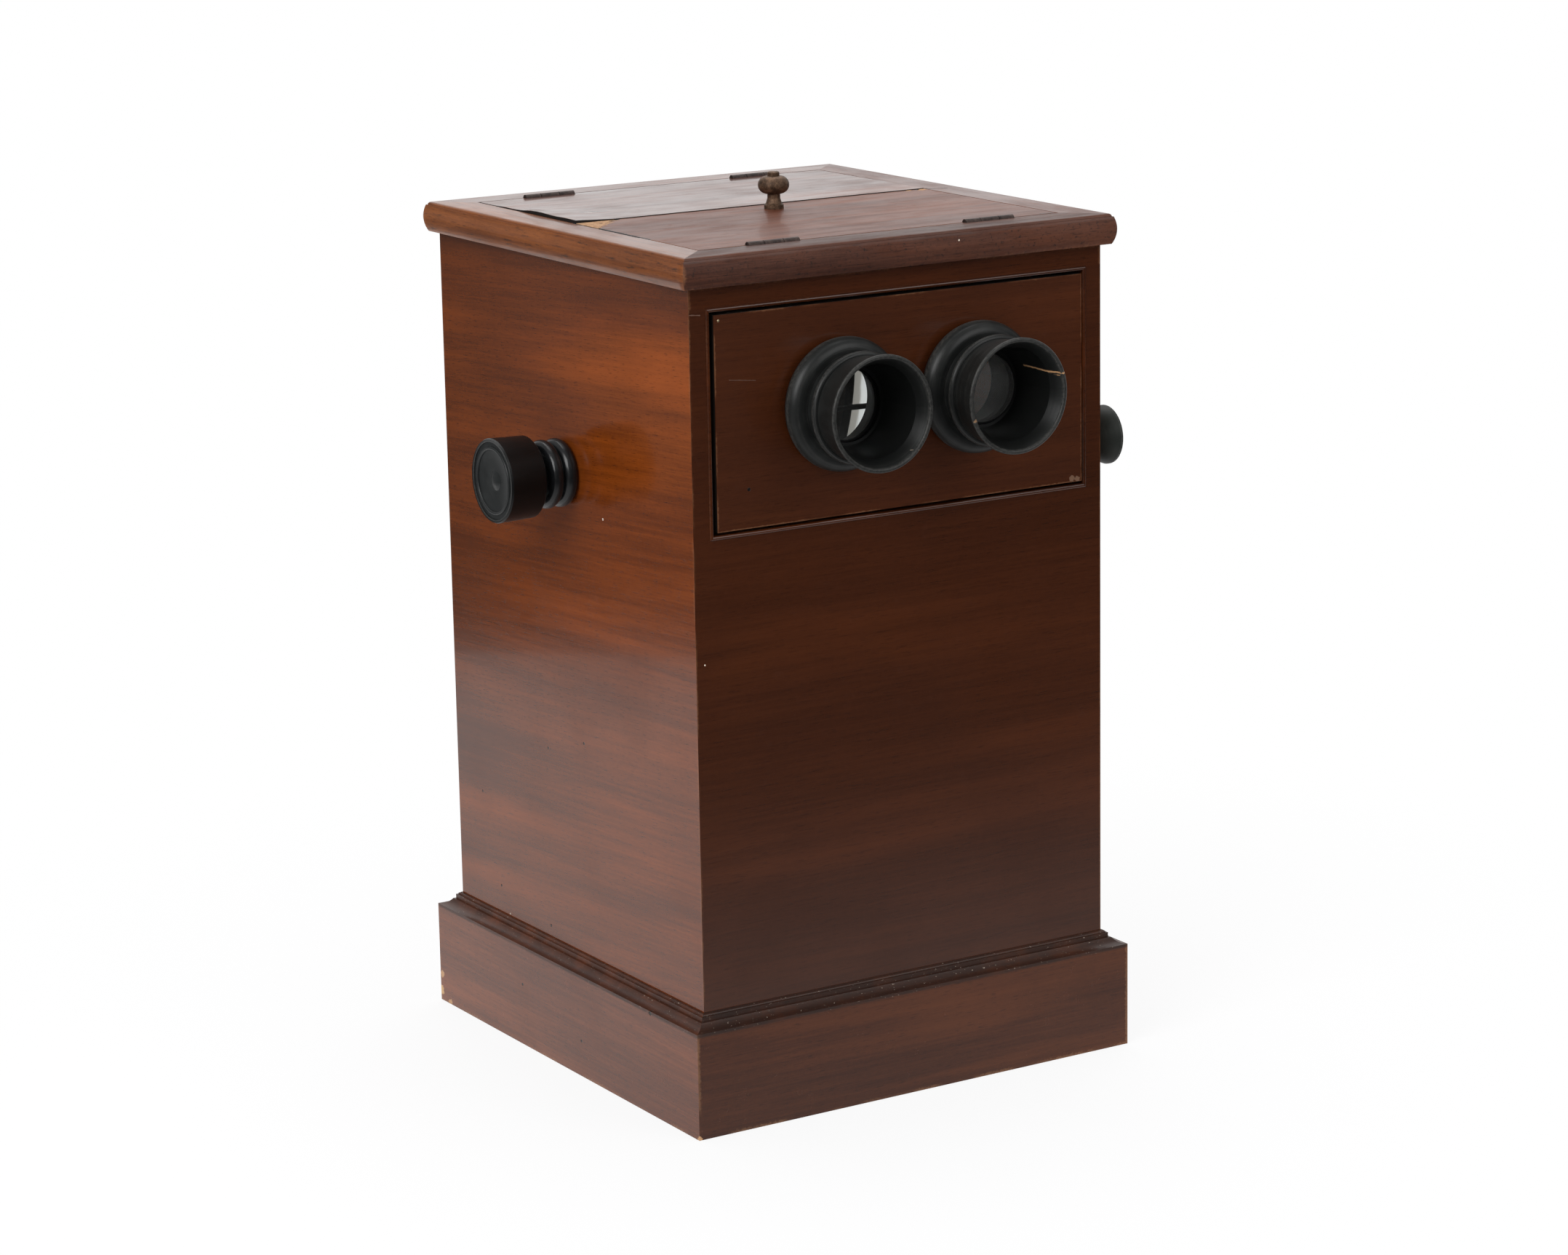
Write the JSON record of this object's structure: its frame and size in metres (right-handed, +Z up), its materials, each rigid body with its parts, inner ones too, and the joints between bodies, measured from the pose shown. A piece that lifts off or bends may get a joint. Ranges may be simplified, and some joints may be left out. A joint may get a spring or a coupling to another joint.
{
  "type": "tabletop stereoscope",
  "caption": "Tabletop stereoscope: tall wooden case with twin eyepieces on a sliding lens box, a hinged two-flap lid, and a band of card holders turned by a side knob.",
  "frame": {"origin": "centre of the case's footprint, on the plane that the plinth stands on", "axes": "+X to the right along the eyepiece face, +Y from the eyepieces to the back, +Z up"},
  "size_m": [0.2867, 0.2842, 0.425],
  "materials": {
    "side_wood": "French-polished mahogany, worn",
    "front_wood": "French-polished dark mahogany",
    "plinth_wood": "French-polished mahogany, rubbed at the corners",
    "top_wood": "French-polished mahogany, faded",
    "inner_wood": "stained softwood, matt",
    "box_wood": "matt black stain",
    "ebonised_wood": "turned and ebonised, glossy",
    "eyepiece_black": "turned and ebonised, satin",
    "old_brass": "tarnished brass",
    "old_iron": "browned iron",
    "bright_steel": "drawn steel",
    "lens_glass": "polished lens glass",
    "ground_glass": "ground on one face",
    "mirror_glass": "silvered glass",
    "linen_tape": "woven linen tape"
  },
  "bodies": {
    "case": {"side_board_left": "side_wood", "side_board_right": "side_wood", "front_board": "front_wood", "front_top_rail": "front_wood", "back_board": "side_wood", "bottom_board": "inner_wood", "floor_battens": "inner_wood", "plinth_front": "plinth_wood", "plinth_back": "plinth_wood", "plinth_left": "plinth_wood", "plinth_right": "plinth_wood", "top_rail_front": "top_wood", "top_rail_back": "top_wood", "top_rail_left": "top_wood", "top_rail_right": "top_wood", "opening_beads": "front_wood", "ground_glass": "ground_glass", "glass_beads": "inner_wood", "slide_rails": "inner_wood", "transport_rosette": "ebonised_wood", "shaft_bushes": "old_brass", "card_tapes": "linen_tape", "card_holders": "old_iron", "hinge_leaves_fixed": "old_iron", "hinge_pins": "old_iron", "hinge_screws_fixed": "old_iron"},
    "front_flap": {"lid_front": "top_wood", "lid_knob": "old_brass", "lid_mirror": "mirror_glass", "mirror_clips": "old_brass", "front_hinge_leaves": "old_iron", "front_lid_screws": "old_iron"},
    "back_flap": {"lid_back": "top_wood", "back_hinge_leaves": "old_iron", "back_lid_screws": "old_iron"},
    "lens_box": {"lens_board": "front_wood", "lens_box_cheeks": "box_wood", "lens_box_top": "box_wood", "lens_box_bottom": "box_wood", "eyecup_left": "eyepiece_black", "eyecup_right": "eyepiece_black", "lens_left": "lens_glass", "lens_right": "lens_glass", "lens_retaining_rings": "eyepiece_black", "eyecup_nuts": "eyepiece_black", "focus_racks": "old_brass"},
    "focus": {"focus_shaft": "bright_steel", "focus_pinions": "old_brass", "focus_knob": "ebonised_wood", "focus_collar": "old_brass"},
    "transport": {"upper_axle": "bright_steel", "upper_pulleys": "inner_wood", "transport_knob": "ebonised_wood", "axle_collar": "old_brass"},
    "lower_roller": {"lower_axle": "bright_steel", "lower_pulleys": "inner_wood"}
  },
  "joints": [
    {"name": "front_flap_hinge", "type": "hinge", "parent": "case", "child": "front_flap", "pos_m": [0, -0.1039, 0.4071], "axis": [1, 0, 0], "range_deg": [0, 105]},
    {"name": "back_flap_hinge", "type": "hinge", "parent": "case", "child": "back_flap", "pos_m": [0, 0.1039, 0.4071], "axis": [-1, 0, 0], "range_deg": [0, 105]},
    {"name": "focus_slide", "type": "slide", "parent": "case", "child": "lens_box", "axis": [0, -1, 0], "range_m": [0, 0.014]},
    {"name": "focus_turn", "type": "hinge", "parent": "case", "child": "focus", "pos_m": [0, -0.097, 0.297], "axis": [-1, 0, 0], "range_deg": [0, 100.5]},
    {"name": "transport_turn", "type": "hinge", "parent": "case", "child": "transport", "pos_m": [0, 0, 0.2923], "axis": [1, 0, 0], "continuous": true},
    {"name": "lower_turn", "type": "hinge", "parent": "case", "child": "lower_roller", "pos_m": [0, 0, 0.15], "axis": [1, 0, 0], "continuous": true}
  ],
  "couplings": [
    {"joint": "focus_turn", "follows": "focus_slide", "rad_per_m": 125},
    {"joint": "lower_turn", "follows": "transport_turn", "ratio": 1}
  ]
}
